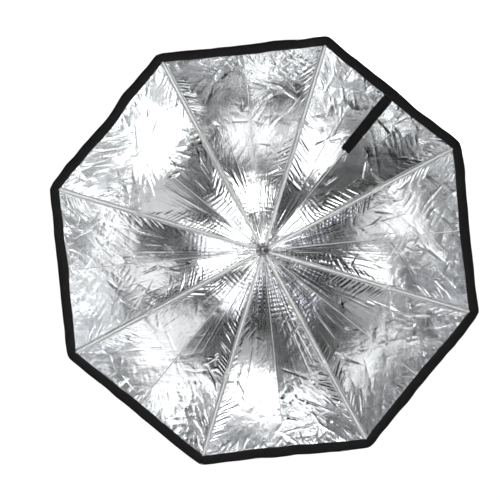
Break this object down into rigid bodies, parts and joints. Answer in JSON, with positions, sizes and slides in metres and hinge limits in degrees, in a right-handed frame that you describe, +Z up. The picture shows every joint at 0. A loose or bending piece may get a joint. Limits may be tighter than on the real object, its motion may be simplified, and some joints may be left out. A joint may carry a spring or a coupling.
{
  "type": "octabox",
  "caption": "Folding octagonal umbrella softbox: black canopy with a silver lining on bent ribs, stretchers and a runner on a central shaft, with a hook-and-loop closed slit in one gore.",
  "frame": {"origin": "middle of the shaft's grip stretch, on the shaft's axis, where an umbrella bracket holds it", "axes": "+Z up, the shaft along Y, the open front and the free end of the shaft towards -Y, the closed back towards +Y, the slit in the lowest gore"},
  "size_m": [0.7406, 0.6191, 0.7406],
  "materials": {
    "silver_lining": "crinkled metallic silver foil fabric",
    "black_cover": "matte black woven nylon",
    "hook_and_loop": "black fuzzy loop tape",
    "white_rod": "off-white glass-fibre rod",
    "white_plastic": "moulded white nylon",
    "silver_rod": "silver-white painted steel",
    "chromed_shaft": "polished chromed tube",
    "steel_pins": "plain steel",
    "grey_plastic": "moulded light grey plastic",
    "black_plastic": "moulded black plastic"
  },
  "bodies": {
    "shaft": {"shaft_tube": "chromed_shaft", "shaft_end_cap": "black_plastic", "crown": "grey_plastic", "crown_hinge_pins": "steel_pins", "back_washer": "black_plastic", "back_ferrule": "black_plastic"},
    "runner": {"runner": "grey_plastic", "runner_grip": "black_plastic"},
    "catch": {"catch_spring": "steel_pins"},
    "rib_1": {"rib_1": "white_rod", "rib_clip_1": "white_plastic", "rib_tip_1": "white_plastic", "canopy_1": "silver_lining", "rim_band_1": "hook_and_loop"},
    "stretcher_1": {"stretcher_1": "silver_rod"},
    "rib_2": {"rib_2": "white_rod", "rib_clip_2": "white_plastic", "rib_tip_2": "white_plastic", "canopy_2": "silver_lining", "rim_band_2": "hook_and_loop"},
    "stretcher_2": {"stretcher_2": "silver_rod"},
    "rib_3": {"rib_3": "white_rod", "rib_clip_3": "white_plastic", "rib_tip_3": "white_plastic", "canopy_3": "silver_lining", "rim_band_3": "hook_and_loop"},
    "stretcher_3": {"stretcher_3": "silver_rod"},
    "rib_4": {"rib_4": "white_rod", "rib_clip_4": "white_plastic", "rib_tip_4": "white_plastic", "canopy_4": "silver_lining", "rim_band_4": "hook_and_loop"},
    "stretcher_4": {"stretcher_4": "silver_rod"},
    "rib_5": {"rib_5": "white_rod", "rib_clip_5": "white_plastic", "rib_tip_5": "white_plastic", "canopy_5": "silver_lining", "rim_band_5": "hook_and_loop"},
    "stretcher_5": {"stretcher_5": "silver_rod"},
    "rib_6": {"rib_6": "white_rod", "rib_clip_6": "white_plastic", "rib_tip_6": "white_plastic", "canopy_6": "silver_lining", "rim_band_6": "hook_and_loop", "slit_hook_strip": "hook_and_loop"},
    "stretcher_6": {"stretcher_6": "silver_rod"},
    "rib_7": {"rib_7": "white_rod", "rib_clip_7": "white_plastic", "rib_tip_7": "white_plastic", "canopy_7": "silver_lining", "rim_band_7": "hook_and_loop", "slit_loop_strip": "hook_and_loop"},
    "stretcher_7": {"stretcher_7": "silver_rod"},
    "rib_8": {"rib_8": "white_rod", "rib_clip_8": "white_plastic", "rib_tip_8": "white_plastic", "canopy_8": "silver_lining", "rim_band_8": "hook_and_loop"},
    "stretcher_8": {"stretcher_8": "silver_rod"}
  },
  "joints": [
    {"name": "runner_slide", "type": "slide", "parent": "shaft", "child": "runner", "axis": [0, -1, 0], "range_m": [0, 0.29576], "deforming": ["canopy_1", "canopy_2", "canopy_3", "canopy_4", "canopy_5", "canopy_6", "canopy_7", "canopy_8", "rim_band_1", "rim_band_2", "rim_band_3", "rim_band_4", "rim_band_5", "rim_band_6", "rim_band_7", "rim_band_8", "slit_hook_strip", "slit_loop_strip", "catch_spring"]},
    {"name": "catch_press", "type": "hinge", "parent": "shaft", "child": "catch", "pos_m": [0.0021, 0.1774, 0], "axis": [0, 0, 1], "range_deg": [0, 8.1], "stiffness_Nm_per_rad": 0.4},
    {"name": "rib_1_hinge", "type": "hinge", "parent": "shaft", "child": "rib_1", "pos_m": [0.00878, 0.415, 0.00364], "axis": [0.3827, 0, -0.9239], "range_deg": [0, 56.5]},
    {"name": "stretcher_1_hinge", "type": "hinge", "parent": "rib_1", "child": "stretcher_1", "pos_m": [0.22359, 0.34234, 0.09261], "axis": [-0.3827, 0, 0.9239], "range_deg": [0, 105.17]},
    {"name": "rib_2_hinge", "type": "hinge", "parent": "shaft", "child": "rib_2", "pos_m": [0.00364, 0.415, 0.00878], "axis": [0.9239, 0, -0.3827], "range_deg": [0, 56.5]},
    {"name": "stretcher_2_hinge", "type": "hinge", "parent": "rib_2", "child": "stretcher_2", "pos_m": [0.09261, 0.34234, 0.22359], "axis": [-0.9239, 0, 0.3827], "range_deg": [0, 105.17]},
    {"name": "rib_3_hinge", "type": "hinge", "parent": "shaft", "child": "rib_3", "pos_m": [-0.00364, 0.415, 0.00878], "axis": [0.9239, 0, 0.3827], "range_deg": [0, 56.5]},
    {"name": "stretcher_3_hinge", "type": "hinge", "parent": "rib_3", "child": "stretcher_3", "pos_m": [-0.09261, 0.34234, 0.22359], "axis": [-0.9239, 0, -0.3827], "range_deg": [0, 105.17]},
    {"name": "rib_4_hinge", "type": "hinge", "parent": "shaft", "child": "rib_4", "pos_m": [-0.00878, 0.415, 0.00364], "axis": [0.3827, 0, 0.9239], "range_deg": [0, 56.5]},
    {"name": "stretcher_4_hinge", "type": "hinge", "parent": "rib_4", "child": "stretcher_4", "pos_m": [-0.22359, 0.34234, 0.09261], "axis": [-0.3827, 0, -0.9239], "range_deg": [0, 105.17]},
    {"name": "rib_5_hinge", "type": "hinge", "parent": "shaft", "child": "rib_5", "pos_m": [-0.00878, 0.415, -0.00364], "axis": [-0.3827, 0, 0.9239], "range_deg": [0, 56.5]},
    {"name": "stretcher_5_hinge", "type": "hinge", "parent": "rib_5", "child": "stretcher_5", "pos_m": [-0.22359, 0.34234, -0.09261], "axis": [0.3827, 0, -0.9239], "range_deg": [0, 105.17]},
    {"name": "rib_6_hinge", "type": "hinge", "parent": "shaft", "child": "rib_6", "pos_m": [-0.00364, 0.415, -0.00878], "axis": [-0.9239, 0, 0.3827], "range_deg": [0, 56.5]},
    {"name": "stretcher_6_hinge", "type": "hinge", "parent": "rib_6", "child": "stretcher_6", "pos_m": [-0.09261, 0.34234, -0.22359], "axis": [0.9239, 0, -0.3827], "range_deg": [0, 105.17]},
    {"name": "rib_7_hinge", "type": "hinge", "parent": "shaft", "child": "rib_7", "pos_m": [0.00364, 0.415, -0.00878], "axis": [-0.9239, 0, -0.3827], "range_deg": [0, 56.5]},
    {"name": "stretcher_7_hinge", "type": "hinge", "parent": "rib_7", "child": "stretcher_7", "pos_m": [0.09261, 0.34234, -0.22359], "axis": [0.9239, 0, 0.3827], "range_deg": [0, 105.17]},
    {"name": "rib_8_hinge", "type": "hinge", "parent": "shaft", "child": "rib_8", "pos_m": [0.00878, 0.415, -0.00364], "axis": [-0.3827, 0, -0.9239], "range_deg": [0, 56.5]},
    {"name": "stretcher_8_hinge", "type": "hinge", "parent": "rib_8", "child": "stretcher_8", "pos_m": [0.22359, 0.34234, -0.09261], "axis": [0.3827, 0, 0.9239], "range_deg": [0, 105.17]}
  ],
  "couplings": [
    {"joint": "rib_1_hinge", "follows": "runner_slide", "rad_per_m": 3.3342},
    {"joint": "stretcher_1_hinge", "follows": "runner_slide", "rad_per_m": 6.2063},
    {"joint": "rib_2_hinge", "follows": "runner_slide", "rad_per_m": 3.3342},
    {"joint": "stretcher_2_hinge", "follows": "runner_slide", "rad_per_m": 6.2063},
    {"joint": "rib_3_hinge", "follows": "runner_slide", "rad_per_m": 3.3342},
    {"joint": "stretcher_3_hinge", "follows": "runner_slide", "rad_per_m": 6.2063},
    {"joint": "rib_4_hinge", "follows": "runner_slide", "rad_per_m": 3.3342},
    {"joint": "stretcher_4_hinge", "follows": "runner_slide", "rad_per_m": 6.2063},
    {"joint": "rib_5_hinge", "follows": "runner_slide", "rad_per_m": 3.3342},
    {"joint": "stretcher_5_hinge", "follows": "runner_slide", "rad_per_m": 6.2063},
    {"joint": "rib_6_hinge", "follows": "runner_slide", "rad_per_m": 3.3342},
    {"joint": "stretcher_6_hinge", "follows": "runner_slide", "rad_per_m": 6.2063},
    {"joint": "rib_7_hinge", "follows": "runner_slide", "rad_per_m": 3.3342},
    {"joint": "stretcher_7_hinge", "follows": "runner_slide", "rad_per_m": 6.2063},
    {"joint": "rib_8_hinge", "follows": "runner_slide", "rad_per_m": 3.3342},
    {"joint": "stretcher_8_hinge", "follows": "runner_slide", "rad_per_m": 6.2063}
  ]
}
